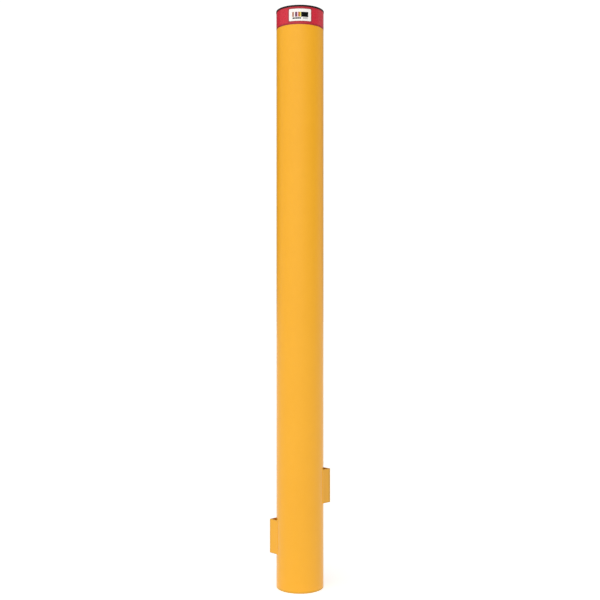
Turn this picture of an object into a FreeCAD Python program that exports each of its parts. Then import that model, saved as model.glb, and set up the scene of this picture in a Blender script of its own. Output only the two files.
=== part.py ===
import FreeCAD, Part
import math
import os

V = FreeCAD.Vector

# Cast-in steel safety bollard. Millimetres. +Z up, origin on the tube axis at the lower cut end.
# The front, which carries the label, faces -Y. The anchor lugs stand out along -X and +X.

# ---------------------------------------------------------------- driving dimensions
TUBE_OD = 139.7            # outside diameter of the structural tube
TUBE_WALL = 5.0            # wall thickness
TUBE_LENGTH = 1700.0       # cut length: 1200 above ground and 500 cast in
TUBE_EDGE_OUT = 1.2        # rounding of the outer edge at both cut ends
TUBE_EDGE_IN = 0.6         # rounding of the inner edge at both cut ends

CAP_FLANGE_D = 141.4       # flange stands just proud of the tube
CAP_RIM_HEIGHT = 5.0       # height of the flange's edge above the tube end
CAP_CROWN = 2.0            # rise of the crowned top above the rim
CAP_TOP_R = 1.4            # rounding between rim and crown
CAP_BOTTOM_R = 0.4         # rounding at the flange's lower edge
CAP_PLATE = 3.2            # thickness of the top plate at the spigot
CAP_SPIGOT_D = 126.0       # spigot wall, outside
CAP_SPIGOT_WALL = 2.5
CAP_SPIGOT_DEPTH = 24.0    # how far the spigot reaches down the tube
CAP_FIN_D = 129.6          # gripping fins, 0.05 mm clear of the bore all round
CAP_FIN_T = 1.4            # fin thickness at its root
CAP_FIN_AT = (5.0, 11.0, 17.0)   # fin positions below the flange
CAP_WEB_T = 2.0            # stiffening webs across the hollow spigot
CAP_WEB_DEPTH = 15.0
CAP_WEBS = 3               # webs right across, so twice as many spokes

TAPE_TOP = 1699.9          # upper edge of the reflective tape, just clear of the cap's flange
TAPE_WIDTH = 50.8          # 2 inch roll
TAPE_T = 0.25              # tape thickness
TAPE_LAP_DEG = 10.0        # the lap at the back, two layers thick

LABEL_W = 64.0             # straight width across the front
LABEL_H = 35.0
LABEL_TOP = 1693.7
LABEL_R = 3.0
LABEL_T = 0.12

LUG_LEG = 30.0             # equal angle 30 x 30 x 3, rolled
LUG_T = 3.0
LUG_ROOT_R = 5.0
LUG_TOE_R = 2.5
LUG_LENGTH = 100.0
LOWER_LUG_Z = 101.5        # lower end of the lug on the -X side
UPPER_LUG_Z = 251.5        # lower end of the lug on the +X side

WELD_FOOT_DEG = 20.6       # where the bead's foot runs out on the tube, seen from the axis
WELD_THROAT = 0.7          # how far the bead's face bulges
WELD_OVERRUN = 3.0         # the bead runs on past each end of the lug

# ---------------------------------------------------------------- derived
R = TUBE_OD / 2.0
BORE_R = R - TUBE_WALL
LABEL_IN_R = R + TAPE_T

# The angle section rests on the tube with the rounded inner corner of each toe, so the
# centre of that rounding lies one toe radius outside the tube.
_k = math.sqrt(0.5)
_cs = LUG_LEG - LUG_TOE_R      # rounding centre along the leg
_ct = LUG_T - LUG_TOE_R        # rounding centre across the leg
TOE_CY = _k * (_cs - _ct)
TOE_CX = math.sqrt((R + LUG_TOE_R) ** 2 - TOE_CY ** 2)
HEEL_X = TOE_CX + _k * (_cs + _ct)

os.makedirs("parts", exist_ok=True)


def check(name, shape):
    solids = shape.Solids
    ok = shape.isValid() and all(s.isClosed() and s.Volume > 0 for s in solids)
    b = shape.BoundBox
    print("%-22s solids %d valid %s volume %.1f  x %.2f..%.2f y %.2f..%.2f z %.2f..%.2f" % (
        name, len(solids), ok, shape.Volume, b.XMin, b.XMax, b.YMin, b.YMax, b.ZMin, b.ZMax))
    shape.exportStep("parts/%s.step" % name)
    return shape


def wire(points):
    """Closed wire from a list of corners and arcs: a corner is a Vector, and ("arc", mid, end)
    is an arc from the last point through mid to end."""
    edges = []
    last = points[0]
    for p in points[1:] + [points[0]]:
        if isinstance(p, tuple):
            edges.append(Part.Arc(last, p[1], p[2]).toShape())
            last = p[2]
        else:
            if last.distanceToPoint(p) > 1e-7:
                edges.append(Part.makeLine(last, p))
            last = p
    return Part.Wire(edges)


def xz(r, z):
    return V(r, 0, z)


def quarter(cr, cz, rad, a0, a1):
    """Arc element round (cr, cz) from angle a0 to a1, in degrees, in the XZ plane."""
    am = math.radians((a0 + a1) / 2.0)
    ae = math.radians(a1)
    return ("arc", xz(cr + rad * math.cos(am), cz + rad * math.sin(am)),
            xz(cr + rad * math.cos(ae), cz + rad * math.sin(ae)))


def turned(points):
    return Part.Face(wire(points)).revolve(V(0, 0, 0), V(0, 0, 1), 360)


# ---------------------------------------------------------------- post tube
eo, ei, L = TUBE_EDGE_OUT, TUBE_EDGE_IN, TUBE_LENGTH
tube = turned([
    xz(BORE_R + ei, 0),
    xz(R - eo, 0),
    quarter(R - eo, eo, eo, -90, 0),
    xz(R, L - eo),
    quarter(R - eo, L - eo, eo, 0, 90),
    xz(BORE_R + ei, L),
    quarter(BORE_R + ei, L - ei, ei, 90, 180),
    xz(BORE_R, ei),
    quarter(BORE_R + ei, ei, ei, 180, 270),
])
tube = check("post_tube", Part.Solid(tube) if tube.ShapeType != "Solid" else tube)

# ---------------------------------------------------------------- top cap
fr = CAP_FLANGE_D / 2.0
rim_z = L + CAP_RIM_HEIGHT
sr = CAP_SPIGOT_D / 2.0
si = sr - CAP_SPIGOT_WALL
fin_r = CAP_FIN_D / 2.0
under_z = rim_z - CAP_PLATE
crown_edge = fr - CAP_TOP_R
crown_mid = crown_edge / 2.0
# circle through the rim shoulder and the crown's highest point
crown_rad = (crown_edge ** 2 + CAP_CROWN ** 2) / (2.0 * CAP_CROWN)
crown_mid_z = rim_z + CAP_CROWN - (crown_rad - math.sqrt(crown_rad ** 2 - crown_mid ** 2))
profile = [
    xz(0, rim_z + CAP_CROWN),
    ("arc", xz(crown_mid, crown_mid_z), xz(crown_edge, rim_z)),
    quarter(fr - CAP_TOP_R, rim_z - CAP_TOP_R, CAP_TOP_R, 90, 0),
    xz(fr, L + CAP_BOTTOM_R),
    quarter(fr - CAP_BOTTOM_R, L + CAP_BOTTOM_R, CAP_BOTTOM_R, 0, -90),
    xz(sr, L),
]
for d in CAP_FIN_AT:
    top = L - d
    profile += [xz(sr, top), xz(fin_r, top - 0.3), xz(fin_r, top - 0.9), xz(sr, top - CAP_FIN_T - 0.8)]
profile += [
    xz(sr, L - CAP_SPIGOT_DEPTH + 1.5),
    xz(sr - 1.0, L - CAP_SPIGOT_DEPTH),
    xz(si, L - CAP_SPIGOT_DEPTH),
    xz(si, under_z),
    xz(0, under_z),
]
cap = turned(profile)
for i in range(CAP_WEBS):
    web = Part.makeBox(2 * si + 0.6, CAP_WEB_T, CAP_WEB_DEPTH + 0.3,
                       V(-si - 0.3, -CAP_WEB_T / 2.0, under_z - CAP_WEB_DEPTH))
    web.rotate(V(0, 0, 0), V(0, 0, 1), 180.0 * i / CAP_WEBS)
    cap = cap.fuse(web)
cap = check("top_cap", cap.removeSplitter())

# ---------------------------------------------------------------- reflective tape
tape_z = TAPE_TOP - TAPE_WIDTH


def ring(r0, r1, z, h, a0=0.0, sweep=360.0):
    f = Part.Face(wire([xz(r0, z), xz(r1, z), xz(r1, z + h), xz(r0, z + h)]))
    f.rotate(V(0, 0, 0), V(0, 0, 1), a0)
    return f.revolve(V(0, 0, 0), V(0, 0, 1), sweep)


tape = ring(R, R + TAPE_T, tape_z, TAPE_WIDTH)
lap = ring(R + TAPE_T / 2.0, R + 2 * TAPE_T, tape_z, TAPE_WIDTH, 90.0 - TAPE_LAP_DEG / 2.0, TAPE_LAP_DEG)
tape = check("red_reflective_band", tape.fuse(lap).removeSplitter())

# ---------------------------------------------------------------- label
hw, r = LABEL_W / 2.0, LABEL_R
z0, z1 = LABEL_TOP - LABEL_H, LABEL_TOP
s = r * (1 - _k)
outline = wire([
    V(-hw + r, -80, z0), V(hw - r, -80, z0),
    ("arc", V(hw - s, -80, z0 + s), V(hw, -80, z0 + r)),
    V(hw, -80, z1 - r),
    ("arc", V(hw - s, -80, z1 - s), V(hw - r, -80, z1)),
    V(-hw + r, -80, z1),
    ("arc", V(-hw + s, -80, z1 - s), V(-hw, -80, z1 - r)),
    V(-hw, -80, z0 + r),
    ("arc", V(-hw + s, -80, z0 + s), V(-hw + r, -80, z0)),
])
stamp = Part.Face(outline).extrude(V(0, 50, 0))
sheet = ring(LABEL_IN_R, LABEL_IN_R + LABEL_T, z0 - 2, LABEL_H + 4, 200.0, 140.0)
label = check("identification_label", sheet.common(stamp))


# ---------------------------------------------------------------- anchor lugs
def leg(u, v, side):
    """Point of the angle section: u and v run along the two legs from the heel. side is +1 for
    the lug on +X and -1 for the one on -X."""
    return V(side * (HEEL_X - _k * (u + v)), _k * (u - v), 0)


def lug(side, z):
    t, a, rr, tr = LUG_T, LUG_LEG, LUG_ROOT_R, LUG_TOE_R
    c = tr * (1 - _k)
    pts = [
        leg(0, 0, side),
        leg(a, 0, side),
        leg(a, t - tr, side),
        ("arc", leg(a - c, t - c, side), leg(a - tr, t, side)),
        leg(t + rr, t, side),
        ("arc", leg(t + rr * (1 - _k), t + rr * (1 - _k), side), leg(t, t + rr, side)),
        leg(t, a - tr, side),
        ("arc", leg(t - c, a - c, side), leg(t - tr, a, side)),
        leg(0, a, side),
    ]
    f = Part.Face(wire(pts))
    f.translate(V(0, 0, z))
    return f.extrude(V(0, 0, LUG_LENGTH))


lower_lug = check("lower_anchor_lug", lug(-1, LOWER_LUG_Z))
upper_lug = check("upper_anchor_lug", lug(1, UPPER_LUG_Z))


# ---------------------------------------------------------------- fillet welds
def bead(side, hand, z, the_lug):
    """Bead between one toe and the tube. hand is +1 for the toe on +Y and -1 for the one on -Y."""
    def p(x, y):
        return V(side * x, hand * y, z - WELD_OVERRUN)

    toe = leg(LUG_LEG, 0, 1)
    touch = math.atan2(TOE_CY, TOE_CX)
    foot = math.radians(WELD_FOOT_DEG)
    fx, fy = R * math.cos(foot), R * math.sin(foot)
    mx, my = (toe.x + fx) / 2.0, (toe.y + fy) / 2.0
    nx, ny = fy - toe.y, -(fx - toe.x)
    n = math.hypot(nx, ny)
    nx, ny = nx / n, ny / n
    if nx < 0:
        nx, ny = -nx, -ny
    pts = [
        p((R - 1.5) * math.cos(touch), (R - 1.5) * math.sin(touch)),
        p(TOE_CX, TOE_CY),
        p(toe.x, toe.y),
        ("arc", p(mx + WELD_THROAT * nx, my + WELD_THROAT * ny), p(fx, fy)),
        p((R - 1.5) * math.cos(foot), (R - 1.5) * math.sin(foot)),
    ]
    body = Part.Face(wire(pts)).extrude(V(0, 0, LUG_LENGTH + 2 * WELD_OVERRUN))
    core = Part.makeCylinder(R, LUG_LENGTH + 20, V(0, 0, z - 10))
    body = body.cut(core).cut(the_lug)
    return max(body.Solids, key=lambda q: q.Volume)


def beads(side, z, the_lug):
    return Part.makeCompound([bead(side, 1, z, the_lug), bead(side, -1, z, the_lug)])


lower_welds = check("lower_lug_welds", beads(-1, LOWER_LUG_Z, lower_lug))
upper_welds = check("upper_lug_welds", beads(1, UPPER_LUG_Z, upper_lug))

print("bore radius %.3f  heel at %.3f  projection %.3f  toe touches at y %.3f" % (
    BORE_R, HEEL_X, HEEL_X - R, R * math.sin(math.atan2(TOE_CY, TOE_CX))))
everything = [tube, cap, tape, label, lower_lug, upper_lug, lower_welds, upper_welds]
for i, a in enumerate(everything):
    for b in everything[i + 1:]:
        if a.BoundBox.intersect(b.BoundBox):
            v = a.common(b).Volume
            if v > 1e-4:
                print("shared volume", i, everything.index(b), round(v, 4))
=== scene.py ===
import bpy
import bmesh
import math
import random
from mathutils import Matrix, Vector


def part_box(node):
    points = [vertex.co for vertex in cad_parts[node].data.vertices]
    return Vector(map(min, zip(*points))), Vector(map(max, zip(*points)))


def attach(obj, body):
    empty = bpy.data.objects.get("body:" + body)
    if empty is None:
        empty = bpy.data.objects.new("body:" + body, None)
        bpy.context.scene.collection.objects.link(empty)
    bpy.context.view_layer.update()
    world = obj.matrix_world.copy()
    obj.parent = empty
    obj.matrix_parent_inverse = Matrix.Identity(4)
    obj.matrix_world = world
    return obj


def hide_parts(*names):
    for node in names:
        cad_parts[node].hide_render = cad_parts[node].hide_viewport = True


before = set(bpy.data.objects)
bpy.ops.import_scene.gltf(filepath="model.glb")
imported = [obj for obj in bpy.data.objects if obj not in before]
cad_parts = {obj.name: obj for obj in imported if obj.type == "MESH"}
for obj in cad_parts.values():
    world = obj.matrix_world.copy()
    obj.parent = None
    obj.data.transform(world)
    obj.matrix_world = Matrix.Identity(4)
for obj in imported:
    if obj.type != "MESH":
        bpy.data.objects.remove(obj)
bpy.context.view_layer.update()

MM = 0.001
PI = math.pi

# ------------------------------------------------------------------ sizes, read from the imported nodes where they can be
lo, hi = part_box("post_tube")
TUBE_L = hi.z - lo.z
R = (hi.x - lo.x) / 2  # 69.85 mm
WALL = 5.0 * MM
BORE = R - WALL
lo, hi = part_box("top_cap")
CAP_TOP = hi.z
CAP_LOW = lo.z
CAP_R = min(hi.y, (hi.x - lo.x) / 2) - 0.02 * MM
lo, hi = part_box("red_reflective_band")
TAPE_Z0, TAPE_Z1 = lo.z, hi.z
TAPE_T = 0.25 * MM
TAPE_TILT = 0.5 * MM  # put on slightly out of true and trimmed flush at the tube's end, so only the lower edge runs down to +X
lo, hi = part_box("identification_label")
LABEL_Z0, LABEL_Z1 = lo.z, hi.z
LABEL_HW = hi.x
LABEL_T = 0.12 * MM
LABEL_ARC = math.asin(LABEL_HW / (R + TAPE_T + LABEL_T)) * (R + TAPE_T)  # half the label's width measured round the tape
lo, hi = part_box("lower_anchor_lug")
LOWER_Z0, LOWER_Z1 = lo.z, hi.z
HEEL_X = -lo.x
lo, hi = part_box("upper_anchor_lug")
UPPER_Z0, UPPER_Z1 = lo.z, hi.z

LEG, LUG_T, ROOT_R, TOE_R = 30.0 * MM, 3.0 * MM, 5.0 * MM, 2.5 * MM


# ------------------------------------------------------------------ mesh helpers
def new_object(name, verts, faces, materials, index=None, smooth=True, sharp=None, uvs=None):
    me = bpy.data.meshes.new(name)
    me.from_pydata([tuple(v) for v in verts], [], faces)
    for m in materials:
        me.materials.append(m)
    if index is not None:
        me.polygons.foreach_set("material_index", index)
    if uvs is not None:
        layer = me.uv_layers.new(name="UVMap")
        layer.data.foreach_set("uv", [c for uv in uvs for c in uv])
    me.validate(verbose=False)
    me.update()
    if smooth:
        me.polygons.foreach_set("use_smooth", [True] * len(me.polygons))
        if sharp is not None:
            me.set_sharp_from_angle(angle=math.radians(sharp))
    ob = bpy.data.objects.new(name, me)
    bpy.context.scene.collection.objects.link(ob)
    return ob


def weighted(ob):
    mod = ob.modifiers.new("even_normals", "WEIGHTED_NORMAL")
    mod.keep_sharp = True
    mod.weight = 60
    return ob


def piece(ob, node):
    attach(ob, "root")
    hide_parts(node)
    return ob


def arc(cx, cy, r, a0, a1, n):
    """n + 1 points of an arc, angles in degrees."""
    return [
        (cx + r * math.cos(math.radians(a0 + (a1 - a0) * i / n)), cy + r * math.sin(math.radians(a0 + (a1 - a0) * i / n)))
        for i in range(n + 1)
    ]


def lathe(profile, seg, closed):
    """Turns (r, z) points round Z. A profile point on the axis becomes one vertex. Returns verts and faces, with the
    outside to the right of the profile's direction of travel."""
    verts, rings = [], []
    for r, z in profile:
        if r < 1e-7:
            rings.append([len(verts)] * seg)
            verts.append((0.0, 0.0, z))
        else:
            rings.append(list(range(len(verts), len(verts) + seg)))
            for i in range(seg):
                a = 2 * PI * i / seg
                verts.append((r * math.cos(a), r * math.sin(a), z))
    faces = []
    n = len(profile)
    for k in range(n if closed else n - 1):
        a, b = rings[k], rings[(k + 1) % n]
        for i in range(seg):
            j = (i + 1) % seg
            f = [a[i], a[j], b[j], b[i]]
            g = []
            for v in f:
                if v not in g:
                    g.append(v)
            if len(g) > 2:
                faces.append(g)
    return verts, faces


def steps(a, b, size):
    """Values from a towards b, without a and b, about size apart."""
    n = max(1, int(round(abs(b - a) / size)))
    return [a + (b - a) * i / n for i in range(1, n)]


# ------------------------------------------------------------------ material helpers
class Nodes:
    def __init__(self, tree):
        self.t = tree

    def add(self, kind, inputs=None, **props):
        n = self.t.nodes.new(kind)
        for k, v in props.items():
            setattr(n, k, v)
        for k, v in (inputs or {}).items():
            self.put(n.inputs[k], v)
        return n

    def put(self, socket, v):
        if isinstance(v, bpy.types.NodeSocket):
            self.t.links.new(v, socket)
        else:
            socket.default_value = v

    def math(self, op, a, b=0.0, c=None, clamp=False):
        n = self.t.nodes.new("ShaderNodeMath")
        n.operation = op
        n.use_clamp = clamp
        self.put(n.inputs[0], a)
        self.put(n.inputs[1], b)
        if c is not None:
            self.put(n.inputs[2], c)
        return n.outputs[0]

    def vmath(self, op, a, b=(0, 0, 0), out=0):
        n = self.t.nodes.new("ShaderNodeVectorMath")
        n.operation = op
        self.put(n.inputs[0], a)
        if len(n.inputs) > 1:
            self.put(n.inputs[1], b)
        return n.outputs[out]

    def noise(self, vector, scale, detail=2.0, rough=0.5):
        n = self.add("ShaderNodeTexNoise", {"Scale": scale, "Detail": detail, "Roughness": rough})
        self.put(n.inputs["Vector"], vector)
        return n.outputs["Fac"]

    def remap(self, v, a0, a1, b0, b1):
        n = self.add("ShaderNodeMapRange", {"From Min": a0, "From Max": a1, "To Min": b0, "To Max": b1})
        self.put(n.inputs["Value"], v)
        return n.outputs["Result"]

    def mix(self, f, a, b, blend="MIX"):
        n = self.t.nodes.new("ShaderNodeMix")
        n.data_type = "RGBA"
        n.blend_type = blend
        self.put(n.inputs["Factor"], f)
        self.put(n.inputs["A"], a)
        self.put(n.inputs["B"], b)
        return n.outputs["Result"]

    def bump(self, height, distance, strength=1.0, normal=None):
        n = self.add("ShaderNodeBump", {"Strength": strength, "Distance": distance})
        self.put(n.inputs["Height"], height)
        if normal is not None:
            self.put(n.inputs["Normal"], normal)
        return n.outputs["Normal"]


def material(name):
    m = bpy.data.materials.new(name)
    m.use_nodes = True
    m.node_tree.nodes.clear()
    n = Nodes(m.node_tree)
    out = n.add("ShaderNodeOutputMaterial")
    p = n.add("ShaderNodeBsdfPrincipled")
    m.node_tree.links.new(p.outputs[0], out.inputs[0])
    return m, n, p


YELLOW = (0.925, 0.428, 0.007, 1.0)


def powder_coat(name, peel=1.0, shade_tint=1.0, grain=0.0, edges=()):
    """Satin powder coat: orange peel, a slow drift in film thickness, and a little grain in the gloss. Each of edges is
    an axis, a place on it, a width and a strength: near that place the colour is darkened as painted shade."""
    m, n, p = material(name)
    at = n.add("ShaderNodeTexCoord").outputs["Object"]
    drift = n.noise(at, 5.0, 2.0)
    cloud = n.noise(at, 42.0, 3.0)
    # painted shade: this factor darkens the whole copy of the paint for a part that sits out of the light
    deep = (YELLOW[0] * 0.99 * shade_tint, YELLOW[1] * 0.98 * shade_tint, YELLOW[2] * 0.85, 1.0)
    pale = (min(1.0, YELLOW[0] * 1.008 * shade_tint), YELLOW[1] * 1.014 * shade_tint, YELLOW[2] * 1.2, 1.0)
    both = n.math("MULTIPLY_ADD", cloud, 0.35, n.math("MULTIPLY", drift, 0.65))
    paint = n.mix(n.remap(both, 0.35, 0.65, 0.0, 1.0), deep, pale)
    # painted shade: near each listed edge the paint colour is pulled towards a dark brown-olive
    if edges:
        place = n.add("ShaderNodeSeparateXYZ")
        n.put(place.inputs[0], at)
        near = None
        for axis, where, width, strength in edges:
            gap = n.math("ABSOLUTE", n.math("SUBTRACT", place.outputs[axis], where))
            edge_shade = n.remap(gap, width * 0.2, width, strength, 0.0)
            near = edge_shade if near is None else n.math("MAXIMUM", near, edge_shade)
        near = n.math("MULTIPLY", near, n.remap(n.noise(at, 90.0, 3.0), 0.3, 0.7, 0.8, 1.1), clamp=True)
        paint = n.mix(near, paint, (YELLOW[0] * 0.6, YELLOW[1] * 0.7, YELLOW[2] * 1.6, 1.0))
    n.put(p.inputs["Base Color"], paint)
    n.put(p.inputs["Roughness"], n.remap(n.noise(at, 130.0, 3.0), 0.3, 0.7, 0.29, 0.36))
    p.inputs["IOR"].default_value = 1.5
    p.inputs["Specular IOR Level"].default_value = 0.5
    skin = n.noise(at, 620.0, 2.0, 0.55)
    normal = n.bump(skin, 0.000022 * peel, 0.8)
    waves = n.noise(at, 95.0, 1.0)
    normal = n.bump(waves, 0.00006 * peel, 0.6, normal)
    if grain:
        mill = n.noise(n.vmath("MULTIPLY", at, (1.0, 1.0, 0.12)), 420.0, 3.0)
        normal = n.bump(mill, 0.00004 * grain, 0.7, normal)
    n.put(p.inputs["Normal"], normal)
    return m


def bare_steel(name):
    """Inside of the tube: mill-scaled steel, with yellow overspray fading in from the open end."""
    m, n, p = material(name)
    at = n.add("ShaderNodeTexCoord").outputs["Object"]
    sep = n.add("ShaderNodeSeparateXYZ")
    n.put(sep.inputs[0], at)
    z = sep.outputs["Z"]
    streak = n.noise(n.vmath("MULTIPLY", at, (1.0, 1.0, 0.08)), 90.0, 4.0, 0.6)
    scale = n.noise(at, 38.0, 4.0, 0.6)
    steel = n.mix(n.remap(streak, 0.3, 0.7, 0, 1), (0.045, 0.047, 0.052, 1), (0.14, 0.138, 0.135, 1))
    steel = n.mix(n.remap(scale, 0.56, 0.72, 0, 0.55), steel, (0.13, 0.055, 0.025, 1))
    mist = n.math("ADD", n.remap(z, 0.0, 0.15, 1.02, -0.1), n.math("MULTIPLY", n.math("SUBTRACT", n.noise(at, 22.0, 6.0, 0.62), 0.5), 0.7), clamp=True)
    n.put(p.inputs["Base Color"], n.mix(mist, steel, YELLOW))
    n.put(p.inputs["Roughness"], n.remap(streak, 0.3, 0.7, 0.42, 0.66))
    n.put(p.inputs["Metallic"], n.remap(mist, 0.0, 0.6, 0.75, 0.0))
    n.put(p.inputs["Normal"], n.bump(n.noise(at, 260.0, 4.0), 0.00008, 0.7))
    return m


def moulded_plastic(name):
    m, n, p = material(name)
    at = n.add("ShaderNodeTexCoord").outputs["Object"]
    cloud = n.noise(at, 340.0, 3.0)
    n.put(p.inputs["Base Color"], n.mix(cloud, (0.003, 0.0027, 0.0028, 1), (0.0052, 0.0047, 0.0049, 1)))
    n.put(p.inputs["Roughness"], n.remap(n.noise(at, 900.0, 3.0), 0.3, 0.7, 0.48, 0.56))
    p.inputs["Specular IOR Level"].default_value = 0.16
    fine = n.noise(at, 1700.0, 2.0, 0.6)
    n.put(p.inputs["Normal"], n.bump(fine, 0.00003, 0.7))
    return m


def reflective_tape(name):
    """Red prismatic tape: hexagonal cells with pale seal lines between them, a whole number of cells round the tube."""
    m, n, p = material(name)
    at = n.add("ShaderNodeTexCoord").outputs["Object"]
    place = n.add("ShaderNodeSeparateXYZ")
    n.put(place.inputs[0], at)
    cells = 122
    cell = 2 * PI * (R + TAPE_T) / cells
    # the end that laps over the tape's start stands one thickness further out, and its cells don't line up with those below
    out_by = n.vmath("LENGTH", n.vmath("MULTIPLY", at, (1.0, 1.0, 0.0)), out=1)
    lapped = n.math("GREATER_THAN", out_by, R + TAPE_T + 0.1 * MM)
    q = n.add("ShaderNodeCombineXYZ")
    n.put(q.inputs[0], n.math("MULTIPLY_ADD", lapped, 0.37, n.math("MULTIPLY", n.math("ARCTAN2", place.outputs[1], place.outputs[0]), cells / (2 * PI))))
    n.put(q.inputs[1], n.math("MULTIPLY_ADD", lapped, 0.8, n.math("DIVIDE", place.outputs[2], cell)))
    q = q.outputs[0]
    step = (1.0, math.sqrt(3.0), 1.0)
    half = (0.5, math.sqrt(3.0) / 2, 0.0)

    def wrapped(v):
        return n.vmath("SUBTRACT", n.vmath("MODULO", n.vmath("ADD", v, (400.0, 400.0 * math.sqrt(3.0), 0.0)), step), half)

    a = wrapped(q)
    b = wrapped(n.vmath("SUBTRACT", q, half))
    nearer = n.math("LESS_THAN", n.vmath("DOT_PRODUCT", a, a, 1), n.vmath("DOT_PRODUCT", b, b, 1))
    pick = n.add("ShaderNodeMix", data_type="VECTOR")
    n.put(pick.inputs["Factor"], nearer)
    n.put(pick.inputs[4], b)
    n.put(pick.inputs[5], a)
    g = n.vmath("ABSOLUTE", pick.outputs[1])
    across = n.add("ShaderNodeSeparateXYZ")
    n.put(across.inputs[0], g)
    edge = n.math("MAXIMUM", across.outputs[0], n.vmath("DOT_PRODUCT", g, (0.5, math.sqrt(3.0) / 2, 0.0), 1))
    seal = n.remap(edge, 0.42, 0.47, 0.0, 1.0)
    grainy = n.noise(at, 2600.0, 1.0)
    cloud = n.noise(at, 26.0, 2.0)
    body = n.mix(n.remap(grainy, 0.35, 0.65, 0.0, 1.0), (0.56, 0.012, 0.032, 1), (0.74, 0.017, 0.042, 1))
    body = n.mix(n.remap(cloud, 0.3, 0.7, 0.0, 0.4), body, (0.60, 0.012, 0.038, 1))
    body = n.mix(n.math("MULTIPLY", seal, 0.5), body, (0.74, 0.036, 0.06, 1))
    # painted shadow: the tape is darkened to a deep red under the cap's rim and round the label, and it is also darker
    # towards its lower edge
    above = n.math("SUBTRACT", n.math("MULTIPLY_ADD", place.outputs[0], TAPE_TILT / R, place.outputs[2]), TAPE_Z0)
    foot = n.remap(above, 2.0 * MM, 7.0 * MM, 0.7, 0.0)
    # painted shadow under the cap's rim
    head = n.remap(n.math("SUBTRACT", TAPE_Z1, place.outputs[2]), 0.0, 4.5 * MM, 0.55, 0.0)
    along = n.math("MULTIPLY", n.math("ARCTAN2", place.outputs[0], n.math("MULTIPLY", place.outputs[1], -1.0)), R + TAPE_T)
    off_u = n.math("SUBTRACT", n.math("ABSOLUTE", along), LABEL_ARC)
    off_v = n.math("SUBTRACT", n.math("ABSOLUTE", n.math("SUBTRACT", place.outputs[2], (LABEL_Z0 + LABEL_Z1) / 2)), (LABEL_Z1 - LABEL_Z0) / 2)
    # painted shadow round the label
    label_shadow = n.remap(n.math("MAXIMUM", off_u, off_v), 1.0 * MM, 5.5 * MM, 0.7, 0.0)
    dark_edge_and_shadow = n.math("MULTIPLY", n.math("MAXIMUM", n.math("MAXIMUM", foot, head), label_shadow), n.remap(n.noise(at, 120.0, 3.0), 0.3, 0.7, 0.85, 1.05), clamp=True)
    n.put(p.inputs["Base Color"], n.mix(dark_edge_and_shadow, body, (0.20, 0.006, 0.012, 1)))
    n.put(p.inputs["Roughness"], n.remap(n.noise(at, 120.0, 2.0), 0.3, 0.7, 0.24, 0.33))
    p.inputs["Specular IOR Level"].default_value = 0.45
    n.put(p.inputs["Normal"], n.bump(seal, 0.00002, 0.35, n.bump(grainy, 0.00001, 0.3)))
    return m


def film(name, dark, pale, gloss=0.5, rough=(0.3, 0.4)):
    """Printed or plain label film."""
    m, n, p = material(name)
    at = n.add("ShaderNodeTexCoord").outputs["Object"]
    fibre = n.noise(at, 700.0, 3.0)
    n.put(p.inputs["Base Color"], n.mix(n.remap(fibre, 0.35, 0.65, 0, 1), (*dark, 1), (*pale, 1)))
    n.put(p.inputs["Roughness"], n.remap(n.noise(at, 160.0, 2.0), 0.3, 0.7, *rough))
    p.inputs["Specular IOR Level"].default_value = gloss
    n.put(p.inputs["Normal"], n.bump(n.noise(at, 240.0, 2.0), 0.00002, 0.4))
    return m


# ------------------------------------------------------------------ post tube
def build_tube():
    ro, ri = 1.2 * MM, 0.6 * MM
    L = TUBE_L
    outer = [(R, z) for z in steps(ro, L - ro, 25 * MM)]
    inner = [(BORE, z) for z in steps(L - ri, ri, 25 * MM)]
    profile = []
    profile += [(x, y) for x, y in arc(R - ro, ro, ro, -90, 0, 8)]
    profile += outer
    profile += [(x, y) for x, y in arc(R - ro, L - ro, ro, 0, 90, 8)]
    profile += [(x, y) for x, y in arc(BORE + ri, L - ri, ri, 90, 180, 5)]
    profile += inner
    profile += [(x, y) for x, y in arc(BORE + ri, ri, ri, 180, 270, 5)]
    seg = 288
    verts, faces = lathe(profile, seg, True)
    index = []
    for f in faces:
        r = sum(math.hypot(verts[v][0], verts[v][1]) for v in f) / len(f)
        index.append(1 if r < BORE + 0.25 * MM else 0)
    # painted shade: the post's paint darkens over its lowest 7 mm
    ob = new_object("post_tube_shell", verts, faces, [powder_coat("powder_yellow_post", edges=((2, 0.0, 7.0 * MM, 0.85),)), bare_steel("steel_inside")], index, sharp=35)
    return piece(weighted(ob), "post_tube")


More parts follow.
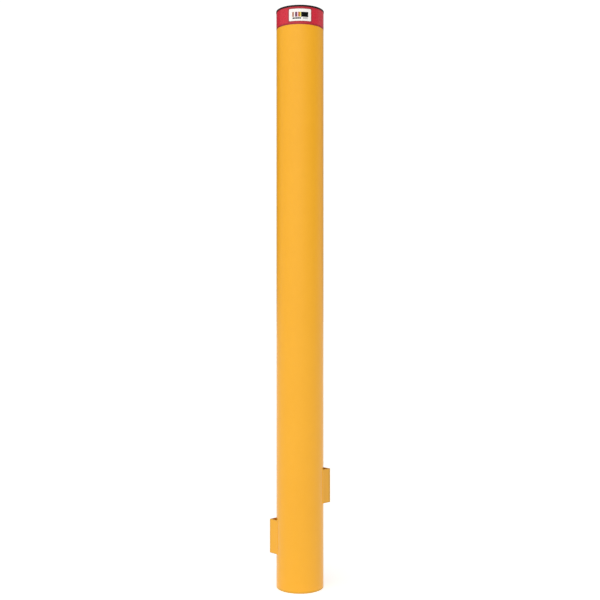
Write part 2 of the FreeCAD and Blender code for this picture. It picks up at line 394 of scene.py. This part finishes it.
# ------------------------------------------------------------------ top cap
def build_cap():
    L = TUBE_L
    fr = CAP_R
    rim = L + 5.0 * MM
    crown = CAP_TOP - rim
    tr, br = 1.4 * MM, 0.4 * MM
    sr, si = 63.0 * MM, 60.5 * MM
    under = rim - 3.2 * MM
    edge = fr - tr
    big = (edge**2 + crown**2) / (2 * crown)

    def dome(r):
        return rim + crown - (big - math.sqrt(big * big - r * r))

    # moulding gate: a shallow round recess with a small nub in it
    top = [(0.0, dome(0) - 0.16 * MM), (0.7 * MM, dome(0) - 0.17 * MM), (1.0 * MM, dome(0) - 0.30 * MM), (1.15 * MM, dome(0) - 0.44 * MM)]
    top += [(1.6 * MM, dome(0) - 0.46 * MM), (2.6 * MM, dome(0) - 0.46 * MM), (3.1 * MM, dome(0) - 0.43 * MM), (3.4 * MM, dome(0) - 0.34 * MM)]
    top += [(3.65 * MM, dome(3.65 * MM) - 0.14 * MM), (3.85 * MM, dome(3.85 * MM) - 0.04 * MM), (4.2 * MM, dome(4.2 * MM))]
    top += [(r, dome(r)) for r in [6 * MM, 9 * MM] + steps(9 * MM, edge, 4 * MM) + [edge - 0.6 * MM]]
    shoulder = arc(edge, rim - tr, tr, 90, 0, 8)
    low = arc(fr - br, L + br, br, 0, -90, 4)
    profile = top + shoulder + low + [(fr - 2 * MM, L), (R - 2.6 * MM, L), (sr + 0.35 * MM, L), (sr, L - 0.35 * MM)]
    for d in (5.0, 11.0, 17.0):
        z = L - d * MM
        tip = 64.8 * MM
        profile += [(sr + 0.15 * MM, z + 0.15 * MM), (sr + 0.35 * MM, z), (tip - 0.15 * MM, z - 0.25 * MM), (tip, z - 0.45 * MM), (tip, z - 0.8 * MM),
                    (tip - 0.2 * MM, z - 1.05 * MM), (sr + 0.3 * MM, z - 2.1 * MM), (sr, z - 2.4 * MM)]
    profile += [(sr, CAP_LOW + 1.6 * MM), (sr - 0.25 * MM, CAP_LOW + 0.7 * MM), (sr - 0.9 * MM, CAP_LOW + 0.05 * MM), (sr - 1.2 * MM, CAP_LOW), (si + 0.3 * MM, CAP_LOW), (si, CAP_LOW + 0.3 * MM)]
    profile += [(si, under - 1.0 * MM), (si - 0.3 * MM, under - 0.3 * MM), (si - 1.0 * MM, under), (si / 2, under), (0.0, under)]
    seg = 240
    # the profile runs downwards on the outside, so it is turned over to face outwards
    profile.reverse()
    verts, faces = lathe(profile, seg, False)
    mat = moulded_plastic("black_moulded_plastic")
    ob = new_object("top_cap_moulding", verts, faces, [mat], sharp=40)
    # stiffening webs across the hollow spigot, drafted, joined to the shell as one moulding
    for i in range(3):
        a = PI * i / 3
        webs = []
        hw0, hw1 = 1.05 * MM, 0.8 * MM
        z1, z0 = under + 0.4 * MM, under - 15.0 * MM
        x = si + 0.5 * MM
        xl = si - 9.0 * MM
        # outline of the web, with its lower corners cut away where it meets the wall
        outline = [(-x, z1), (-x, z0 + 6.5 * MM), (-xl, z0), (xl, z0), (x, z0 + 6.5 * MM), (x, z1)]

        def thick(z):
            t = (z - z0) / (z1 - z0)
            return hw1 + (hw0 - hw1) * t

        vs = []
        for side in (-1, 1):
            for px, pz in outline:
                vs.append((px, side * thick(pz), pz))
        k = len(outline)
        fs = [list(range(k))[::-1], [k + j for j in range(k)]]
        for j in range(k):
            fs.append([j, (j + 1) % k, k + (j + 1) % k, k + j])
        vs = [(vx * math.cos(a) - vy * math.sin(a), vx * math.sin(a) + vy * math.cos(a), vz) for vx, vy, vz in vs]
        web = new_object("web_%d" % i, vs, fs, [mat], smooth=False)
        bm = bmesh.new()
        bm.from_mesh(web.data)
        bmesh.ops.recalc_face_normals(bm, faces=bm.faces)
        bm.to_mesh(web.data)
        bm.free()
        mod = ob.modifiers.new("join_%d" % i, "BOOLEAN")
        mod.operation = "UNION"
        mod.solver = "EXACT"
        mod.object = web
    bpy.context.view_layer.update()
    done = bpy.data.meshes.new_from_object(ob.evaluated_get(bpy.context.evaluated_depsgraph_get()))
    for mod in list(ob.modifiers):
        tool = mod.object
        ob.modifiers.remove(mod)
        bpy.data.objects.remove(tool)
    ob.data = done
    bm = bmesh.new()
    bm.from_mesh(done)
    bmesh.ops.remove_doubles(bm, verts=bm.verts[:], dist=0.003 * MM)  # where two webs cross, the join leaves pairs of corners at one place
    bmesh.ops.dissolve_degenerate(bm, dist=0.001 * MM, edges=bm.edges[:])
    bm.to_mesh(done)
    bm.free()
    done.set_sharp_from_angle(angle=math.radians(40))
    return piece(weighted(ob), "top_cap")


# ------------------------------------------------------------------ reflective tape
def build_tape():
    start, lap = math.radians(84.6), math.radians(10.6)
    total = 2 * PI + lap
    z1 = TAPE_Z1
    c = 0.05 * MM
    n = 420
    angles = [total * i / n for i in range(n + 1)]
    # finer steps where the tape climbs on to its own first end
    climb0, climb1 = 2 * PI - math.radians(1.9), 2 * PI - math.radians(0.15)
    angles = sorted(set(angles + [climb0 + (climb1 - climb0) * i / 12 for i in range(13)]))

    def lift(s):
        if s <= climb0:
            return 0.0
        t = min(1.0, (s - climb0) / (climb1 - climb0))
        return (TAPE_T + 0.02 * MM) * t * t * (3 - 2 * t)

    verts = []
    ring = None
    for s in angles:
        a = start + s
        r0 = R - 0.01 * MM + lift(s)
        r1 = R + TAPE_T + lift(s)
        # the free end on top and the first end below are cut square
        z0 = TAPE_Z0 - TAPE_TILT * math.cos(a)
        section = [(r0, z0), (r0, z0 + 25 * MM), (r0, z1), (r1 - c, z1), (r1, z1 - c)]
        section += [(r1, z1 - (z1 - z0) * j / 10) for j in range(1, 10)]
        section += [(r1, z0 + c), (r1 - c, z0)]
        for r, z in section:
            verts.append((r * math.cos(a), r * math.sin(a), z))
        ring = len(section)
    faces = []
    m = len(angles)
    for i in range(m - 1):
        for j in range(ring):
            k = (j + 1) % ring
            faces.append([i * ring + j, i * ring + k, (i + 1) * ring + k, (i + 1) * ring + j])
    index = [0] * len(faces) + [1, 1]
    faces.append([j for j in range(ring)][::-1])
    faces.append([(m - 1) * ring + j for j in range(ring)])
    mats = [reflective_tape("red_prismatic_tape"), film("tape_cut_edge", (0.62, 0.42, 0.42), (0.72, 0.52, 0.52))]
    ob = new_object("red_reflective_tape", verts, faces, mats, index, sharp=30)
    bm = bmesh.new()
    bm.from_mesh(ob.data)
    bmesh.ops.recalc_face_normals(bm, faces=bm.faces)
    bm.to_mesh(ob.data)
    bm.free()
    return piece(ob, "red_reflective_band")


# ------------------------------------------------------------------ label
def build_label():
    rr = R + TAPE_T + 0.0
    hw, hh, cr = LABEL_ARC, (LABEL_Z1 - LABEL_Z0) / 2, 3.0 * MM
    cz = (LABEL_Z1 + LABEL_Z0) / 2
    W, K, G, PALE, C, V, O, Y, P = range(9)
    mats = [
        film("label_white", (0.95, 0.905, 0.865), (0.985, 0.935, 0.895)),
        film("ink_black", (0.002, 0.0022, 0.0022), (0.0035, 0.0038, 0.0038), 0.06),
        film("ink_grey", (0.045, 0.042, 0.042), (0.06, 0.056, 0.055), 0.15),
        film("ink_pale_grey", (0.23, 0.24, 0.22), (0.29, 0.30, 0.28)),
        film("ink_copper", (0.37, 0.115, 0.05), (0.43, 0.14, 0.065), 0.3),
        film("ink_violet", (0.11, 0.006, 0.062), (0.14, 0.01, 0.078), 0.2),
        film("ink_orange", (0.48, 0.17, 0.012), (0.54, 0.20, 0.018), 0.2),
        film("ink_yellow", (0.78, 0.68, 0.03), (0.85, 0.75, 0.05), 0.2),
        film("ink_pink", (0.86, 0.44, 0.62), (0.92, 0.50, 0.68), 0.3),
    ]
    # plain colour patches and bars, in millimetres: u across from the middle, v up from the middle
    boxes = []

    def block(u0, v0, u1, v1, ink):
        boxes.append((u0 * MM, v0 * MM, u1 * MM, v1 * MM, ink))

    top, low = 8.3, -5.7
    block(-22.8, low, -17.9, top, C)
    block(-14.2, low, -8.6, top, V)
    block(-8.2, low, -5.6, top, P)
    block(-5.2, low, 0.1, top, O)
    block(0.3, low, 2.9, top, Y)
    block(3.3, low - 0.4, 24.4, top, K)
    x = -21.8
    for w in (4.8, 3.0, 4.4, 5.4, 4.6):
        block(x, -11.9, x + w, -7.4, G)
        x += w + 0.6
    for row, runs in ((-8.3, (3.4, 5.2, 3.8)), (-11.1, (5.6, 2.6, 3.6))):
        x = 8.6
        for w in runs:
            block(x, row - 0.9, x + w, row + 0.9, PALE)
            x += w + 0.9

    us = sorted(set([b[0] for b in boxes] + [b[2] for b in boxes] + [hw * (2 * i / 34 - 1) for i in range(1, 34)]))
    vs = sorted(set([b[1] for b in boxes] + [b[3] for b in boxes] + [hh * (2 * i / 12 - 1) for i in range(1, 12)]))
    bm = bmesh.new()
    ring = []
    for cx, cy, a0 in ((hw - cr, hh - cr, 0), (-hw + cr, hh - cr, 90), (-hw + cr, -hh + cr, 180), (hw - cr, -hh + cr, 270)):
        ring += arc(cx, cy, cr, a0, a0 + 90, 10)
    bm.faces.new([bm.verts.new((x, y, 0)) for x, y in ring])
    for u in us:
        bmesh.ops.bisect_plane(bm, geom=bm.verts[:] + bm.edges[:] + bm.faces[:], plane_co=(u, 0, 0), plane_no=(1, 0, 0), dist=1e-7)
    for v in vs:
        bmesh.ops.bisect_plane(bm, geom=bm.verts[:] + bm.edges[:] + bm.faces[:], plane_co=(0, v, 0), plane_no=(0, 1, 0), dist=1e-7)
    bmesh.ops.remove_doubles(bm, verts=bm.verts[:], dist=2e-7)
    bm.verts.index_update()
    flat = [(v.co.x, v.co.y) for v in bm.verts]
    tops, inks = [], []
    for f in bm.faces:
        c = f.calc_center_median()
        ink = W
        for u0, v0, u1, v1, k in boxes:
            if u0 < c.x < u1 and v0 < c.y < v1:
                ink = k
        loop = [v.index for v in f.verts]
        if f.normal.z < 0:
            loop.reverse()
        tops.append(loop)
        inks.append(ink)
    border = [(e.verts[0].index, e.verts[1].index) for e in bm.edges if len(e.link_faces) == 1]
    bm.free()
    n = len(flat)

    def place(u, v, r):
        a = -PI / 2 + u / rr
        return (r * math.cos(a), r * math.sin(a), cz + v)

    verts = [place(u, v, rr + LABEL_T) for u, v in flat] + [place(u, v, rr - 0.01 * MM) for u, v in flat]
    faces = list(tops) + [[i + n for i in f][::-1] for f in tops]
    index = list(inks) + [0] * len(tops)
    uses = {}
    for f in tops:
        for i in range(len(f)):
            uses[(f[i], f[(i + 1) % len(f)])] = True
    for a, b in border:
        if (a, b) in uses:
            a, b = b, a
        faces.append([a, b, b + n, a + n])
        index.append(0)
    ob = new_object("label_sticker", verts, faces, mats, index, sharp=30)
    return piece(ob, "identification_label")


# ------------------------------------------------------------------ anchor lugs
K = math.sqrt(0.5)


def angle_pairs():
    """Matched points of the outer and inner outlines of the angle section, from one toe round to the other, in the
    section's own axes u and v."""
    t, a, rr, tr, hr = LUG_T, LEG, ROOT_R, TOE_R, 0.35 * MM
    tc = 0.35 * MM
    outer, inner = [], []
    # toe end of leg A: the outline goes from the end face's middle outwards and inwards
    inner_arc = arc(a - tr, t - tr, tr, 0, 90, 8)
    outer_arc = arc(a - tc, tc, tc, 0, -90, 8)
    outer += outer_arc
    inner += inner_arc
    straight = 10
    u_root = t + rr
    for i in range(1, straight):
        f = i / straight
        outer.append((a - tc + (u_root - (a - tc)) * f, 0.0))
        inner.append((a - tr + (u_root - (a - tr)) * f, t))
    # heel and root
    m = 12
    heel = [(u_root, 0.0)]
    heel_arc = arc(hr, hr, hr, -90, -180, 8)
    lead = [(u_root - (u_root - hr) * f, 0.0) for f in (0.5,)]
    tail = [(0.0, hr + (u_root - hr) * f) for f in (0.5,)]
    heel += lead + heel_arc + tail + [(0.0, u_root)]
    root = arc(t + rr, t + rr, rr, -90, -180, len(heel) - 1)
    outer += heel
    inner += root
    for i in range(1, straight):
        f = i / straight
        outer.append((0.0, u_root + (a - tc - u_root) * f))
        inner.append((t, u_root + (a - tr - u_root) * f))
    outer += [(y, x) for x, y in outer_arc[::-1]]
    inner += [(y, x) for x, y in inner_arc[::-1]]
    return outer, inner


def inset(loop, d):
    """Moves each point of a closed outline inwards by about d. The outline runs anticlockwise."""
    out = []
    n = len(loop)
    for i in range(n):
        p, q, r = Vector(loop[i - 1]), Vector(loop[i]), Vector(loop[(i + 1) % n])
        e0, e1 = (q - p), (r - q)
        n0 = Vector((-e0.y, e0.x)).normalized() if e0.length > 1e-9 else Vector((0, 0))
        n1 = Vector((-e1.y, e1.x)).normalized() if e1.length > 1e-9 else Vector((0, 0))
        b = n0 + n1
        if b.length < 1e-9:
            b = n0
        b.normalize()
        k = max(0.5, b.dot(n0))
        out.append((q.x + b.x * d / k, q.y + b.y * d / k))
    return out


def build_lug(name, node, side, z0, z1, seed, shade_tint, heel):
    outer, inner = angle_pairs()
    n = len(outer)
    loop = inner + outer[::-1]  # anticlockwise
    rnd = random.Random(seed)
    skew = [rnd.uniform(-0.25, 0.25) * MM for _ in range(2)]
    ce = 0.35 * MM
    levels = []
    for i in range(5):  # rounded saw-cut edge, lower end
        a = math.radians(90 * i / 4)
        levels.append((z0 + ce * (1 - math.cos(a)) if i else z0, ce * (1 - math.sin(a))))
    levels += [(z, 0.0) for z in steps(z0 + ce, z1 - ce, 5 * MM)]
    for i in range(5):
        a = math.radians(90 * i / 4)
        levels.append((z1 - ce * (1 - math.sin(a)), ce * (1 - math.cos(a))))
    verts = []
    shapes = {}
    for z, d in levels:
        key = round(d * 1e7)
        if key not in shapes:
            shapes[key] = inset(loop, d) if d > 1e-9 else loop
        for u, v in shapes[key]:
            verts.append((side * (HEEL_X - K * (u + v)), K * (u - v), z))
    m = len(loop)
    faces = []
    for k in range(len(levels) - 1):
        for i in range(m):
            j = (i + 1) % m
            faces.append([k * m + i, k * m + j, (k + 1) * m + j, (k + 1) * m + i])
    last = (len(levels) - 1) * m
    for i in range(n - 1):
        a, b = i, i + 1
        c, d = m - 1 - (i + 1), m - 1 - i
        if d == c:
            continue
        faces.append([x for x in (a, b, c, d)][::-1])
        faces.append([last + x for x in (a, b, c, d)])
    # painted shade: the paint darkens towards the lug's cut ends and along its heel
    edges = ((2, z0, 4.5 * MM, 0.55), (2, z1, 4.5 * MM, 0.35), (0, side * HEEL_X, 6.5 * MM, heel))
    ob = new_object(name, verts, faces, [powder_coat("powder_yellow_" + name, 1.15, shade_tint, 1.0, edges)], sharp=35)
    bm = bmesh.new()
    bm.from_mesh(ob.data)
    bmesh.ops.recalc_face_normals(bm, faces=bm.faces)
    bm.to_mesh(ob.data)
    bm.free()
    ob.data.set_sharp_from_angle(angle=math.radians(35))
    return piece(weighted(ob), node)


# ------------------------------------------------------------------ welds
def build_welds(name, node, side, z0, z1, seed):
    """Two fillet beads, each laid up the toe of the lug in overlapping crescents, and a few specks of spatter."""
    rnd = random.Random(seed)
    cs, ct = LEG - TOE_R, LUG_T - TOE_R
    toe_y = K * (cs - ct)
    toe_x = math.sqrt((R + TOE_R) ** 2 - toe_y**2)
    touch = math.atan2(toe_y, toe_x)
    corner = Vector((HEEL_X - K * LEG, K * LEG))
    verts, faces = [], []

    def add_grid(rows, cap_ends=True):
        base = len(verts)
        k = len(rows[0])
        for row in rows:
            verts.extend(row)
        for i in range(len(rows) - 1):
            for j in range(k):
                q = (j + 1) % k
                faces.append([base + i * k + j, base + i * k + q, base + (i + 1) * k + q, base + (i + 1) * k + j])
        if cap_ends:
            faces.append([base + j for j in range(k)][::-1])
            faces.append([base + (len(rows) - 1) * k + j for j in range(k)])

    for hand in (1, -1):
        over0, over1 = 2.6 * MM + rnd.uniform(-0.5, 0.4) * MM, 2.8 * MM + rnd.uniform(-0.5, 0.2) * MM
        za, zb = z0 - over0, z1 + over1
        pitch = 1.9 * MM
        ph = rnd.uniform(0, 6.28)
        wobble = [(rnd.uniform(0.02, 0.16), rnd.uniform(0, 6.28), rnd.uniform(18, 140)) for _ in range(5)]
        nz = int((zb - za) / (0.42 * MM))
        across = 15
        rows = []
        for i in range(nz + 1):
            t = i / nz
            z = za + (zb - za) * t
            # round the ends of the bead off
            e0 = min(1.0, (z - za) / (3.2 * MM))
            e1 = min(1.0, (zb - z) / (3.0 * MM))
            end = math.sqrt(max(0.0, 1 - (1 - e0) ** 2)) * math.sqrt(max(0.0, 1 - (1 - e1) ** 2))
            end = max(end, 0.02)
            wav = sum(a * math.sin(f * z * 10 + p) for a, p, f in wobble) / 1.6
            foot_a = touch + (math.radians(20.2) - touch) * (0.55 + 0.45 * end) * (1 + 0.09 * wav)
            foot = Vector(((R - 0.03 * MM) * math.cos(foot_a), (R - 0.03 * MM) * math.sin(foot_a)))
            back = 0.55 * MM * (1 + 0.25 * wav)  # how far the bead laps on to the leg's outer face
            head = corner + Vector((K, -K)) * back * end + Vector((-K, -K)) * 0.02 * MM
            # past the ends of the lug the bead sits on the tube alone
            past = 0.0
            if z < z0:
                past = min(1.0, (z0 - z) / (1.6 * MM))
            elif z > z1:
                past = min(1.0, (z - z1) / (1.6 * MM))
            near = Vector(((R - 0.03 * MM) * math.cos(touch), (R - 0.03 * MM) * math.sin(touch)))
            head = head.lerp(near, past * past * (3 - 2 * past))
            chord = foot - head
            nrm = Vector((chord.y, -chord.x))
            if nrm.x < 0:
                nrm = -nrm
            nrm.normalize()
            row = []
            for j in range(across + 1):
                q = j / across
                hump = 4 * q * (1 - q)
                phase = (z - hump * 1.15 * MM) / pitch * 2 * PI + ph + 1.3 * math.sin(z * 190 + seed)
                ripple = (0.5 + 0.5 * math.sin(phase)) ** 1.4
                rise = (0.62 + 0.10 * wav) * MM * hump**0.8 * end + 0.17 * MM * ripple * hump**0.5 * end
                if past > 0:
                    rise += 0.75 * MM * hump * past * end
                pt = head + chord * q + nrm * rise
                row.append((side * pt.x, hand * pt.y, z))
            # hidden root, inside the steel
            inner_r = R - 0.8 * MM
            deep = min(foot_a, touch + math.radians(3.2))
            row.append((side * inner_r * math.cos(foot_a), hand * inner_r * math.sin(foot_a), z))
            row.append((side * inner_r * math.cos(touch), hand * inner_r * math.sin(touch), z))
            row.append((side * (R * math.cos(touch) * 0.5 + head.x * 0.5 - 0.25 * MM), hand * (R * math.sin(touch) * 0.5 + head.y * 0.5 - 0.25 * MM), z))
            rows.append(row)
        add_grid(rows)

    # spatter: low round specks on the tube beside the beads
    for _ in range(11):
        hand = rnd.choice((1, -1))
        a = math.radians(rnd.uniform(22.0, 29.0))
        z = rnd.uniform(z0 - 6 * MM, z1 + 6 * MM)
        rad = rnd.uniform(0.28, 0.62) * MM
        c = Vector((R * math.cos(a), hand * R * math.sin(a), z))
        out = Vector((math.cos(a), hand * math.sin(a), 0))
        side_v = Vector((-hand * math.sin(a), math.cos(a), 0))
        base = len(verts)
        rings = 4
        for k in range(rings):
            el = (PI / 2) * k / rings
            for i in range(10):
                th = 2 * PI * i / 10
                p = c + out * (rad * 0.62 * math.sin(el) - 0.03 * MM) + (side_v * math.cos(th) + Vector((0, 0, 1)) * math.sin(th)) * rad * math.cos(el)
                verts.append((side * p.x, p.y, p.z))
        p = c + out * (rad * 0.62 - 0.03 * MM)
        verts.append((side * p.x, p.y, p.z))
        apex = len(verts) - 1
        for k in range(rings - 1):
            for i in range(10):
                j = (i + 1) % 10
                faces.append([base + k * 10 + i, base + k * 10 + j, base + (k + 1) * 10 + j, base + (k + 1) * 10 + i])
        for i in range(10):
            faces.append([base + (rings - 1) * 10 + i, base + (rings - 1) * 10 + (i + 1) % 10, apex])
        faces.append([base + i for i in range(10)][::-1])
    # painted shade: the beads' paint is darkened slightly
    ob = new_object(name, verts, faces, [powder_coat("powder_yellow_" + name, 0.8, 0.985)], sharp=60)
    bm = bmesh.new()
    bm.from_mesh(ob.data)
    bmesh.ops.recalc_face_normals(bm, faces=bm.faces)
    bm.to_mesh(ob.data)
    bm.free()
    ob.data.set_sharp_from_angle(angle=math.radians(60))
    return piece(ob, node)


build_tube()
build_cap()
build_tape()
build_label()
# painted shade: the last two numbers darken the lug's whole paint and its heel, the upper lug most, for the shade it
# sits in
build_lug("lower_lug_angle", "lower_anchor_lug", -1, LOWER_Z0, LOWER_Z1, 3, 0.98, 0.45)
build_lug("upper_lug_angle", "upper_anchor_lug", 1, UPPER_Z0, UPPER_Z1, 7, 0.89, 0.7)
build_welds("lower_lug_beads", "lower_lug_welds", -1, LOWER_Z0, LOWER_Z1, 11)
build_welds("upper_lug_beads", "upper_lug_welds", 1, UPPER_Z0, UPPER_Z1, 29)

# ------------------------------------------------------------------ camera
cam_data = bpy.data.cameras.new("camera")
cam = bpy.data.objects.new("camera", cam_data)
bpy.context.scene.collection.objects.link(cam)
CAM_D, CAM_Z, CAM_PITCH, CAM_F = 2.80384, 0.8597, 0.176, 945.0
cam_data.sensor_width = 36.0
cam_data.lens = CAM_F * 36.0 / 600.0
cam.location = (0.0, -CAM_D, CAM_Z)
cam.rotation_euler = (math.radians(90.0 - CAM_PITCH), 0.0, 0.0)
cam_data.clip_start, cam_data.clip_end = 0.05, 200.0
bpy.context.scene.camera = cam

# ------------------------------------------------------------------ studio: pale floor, pale surround
# How bright the surround is in each direction: SECTORS are degrees round from straight behind (-180), past the left
# (-90) and the camera's side (0), to the right (90). LOW is the level of the horizon, HIGH is overhead.
SECTORS = (-180, -165, -150, -135, -120, -105, -90, -60, -30, 0, 30, 60, 90, 105, 120, 135, 150, 165)
LOW = (0.235, 0.10, 0.10, 0.10, 0.10, 0.78, 0.663, 0.969, 1.072, 0.983, 0.663, 0.361, 0.382, 1.044, 0.678, 0.483, 0.319, 0.318)
HIGH = (0.638, 0.574, 0.10, 0.10, 0.10, 0.479, 0.562, 0.948, 1.351, 1.547, 0.748, 0.354, 0.371, 0.10, 0.10, 0.10, 0.413, 0.541)
FLOOR_GLOW = 0.606


def build_floor():
    m = bpy.data.materials.new("studio_floor")
    m.use_nodes = True
    m.node_tree.nodes.clear()
    n = Nodes(m.node_tree)
    out = n.add("ShaderNodeOutputMaterial")
    at = n.add("ShaderNodeTexCoord").outputs["Object"]
    d = n.add("ShaderNodeBsdfDiffuse")
    n.put(d.inputs["Color"], n.mix(n.noise(at, 3.0), (0.80, 0.80, 0.80, 1), (0.82, 0.82, 0.82, 1)))
    e = n.add("ShaderNodeEmission", {"Color": (1, 1, 1, 1), "Strength": FLOOR_GLOW})
    s = n.add("ShaderNodeAddShader")
    n.put(s.inputs[0], d.outputs[0])
    n.put(s.inputs[1], e.outputs[0])
    m.node_tree.links.new(s.outputs[0], out.inputs[0])
    bm = bmesh.new()
    size, cells = 30.0, 12
    bmesh.ops.create_grid(bm, x_segments=cells, y_segments=cells, size=size)
    me = bpy.data.meshes.new("floor")
    bm.to_mesh(me)
    bm.free()
    me.materials.append(m)
    ob = bpy.data.objects.new("floor", me)
    ob.location = (0, 0, 0)
    bpy.context.scene.collection.objects.link(ob)


def build_world():
    w = bpy.data.worlds.new("studio")
    bpy.context.scene.world = w
    w.use_nodes = True
    w.node_tree.nodes.clear()
    n = Nodes(w.node_tree)
    out = n.add("ShaderNodeOutputWorld")
    to = n.add("ShaderNodeTexCoord").outputs["Generated"]
    part = n.add("ShaderNodeSeparateXYZ")
    n.put(part.inputs[0], to)
    turn = n.math("MULTIPLY_ADD", n.math("ARCTAN2", part.outputs[0], n.math("MULTIPLY", part.outputs[1], -1.0)), 1 / (2 * PI), 0.5)
    rise = n.math("DIVIDE", n.math("ARCSINE", n.math("MAXIMUM", part.outputs[2], 0.0)), math.radians(40.0), clamp=True)

    def round_the_room(values):
        ramp = n.add("ShaderNodeValToRGB")
        n.put(ramp.inputs[0], turn)
        cr = ramp.color_ramp
        cr.interpolation = "LINEAR"
        values = list(values) + [values[0]]
        cr.elements[0].position, cr.elements[1].position = 0.0, 1.0
        for a in SECTORS[1:]:
            cr.elements.new((a + 180) / 360)
        for e, v in zip(cr.elements, values):
            e.color = (v / 2, v / 2, v / 2, 1.0)
        return ramp.outputs[0]

    level = n.math("MULTIPLY", n.mix(rise, round_the_room(LOW), round_the_room(HIGH)), 2.0)
    soft = n.add("ShaderNodeBackground", {"Color": (1, 1, 1, 1)})
    n.put(soft.inputs["Strength"], level)
    plain = n.add("ShaderNodeBackground", {"Color": (1, 1, 1, 1), "Strength": 1.05})
    seen = n.add("ShaderNodeLightPath").outputs["Is Camera Ray"]
    mix = n.add("ShaderNodeMixShader")
    n.put(mix.inputs[0], seen)
    n.put(mix.inputs[1], soft.outputs[0])
    n.put(mix.inputs[2], plain.outputs[0])
    w.node_tree.links.new(mix.outputs[0], out.inputs[0])


build_floor()
build_world()

scene = bpy.context.scene
scene.view_settings.view_transform = "Standard"
scene.view_settings.look = "None"
scene.view_settings.exposure = 0.0
scene.view_settings.gamma = 1.0
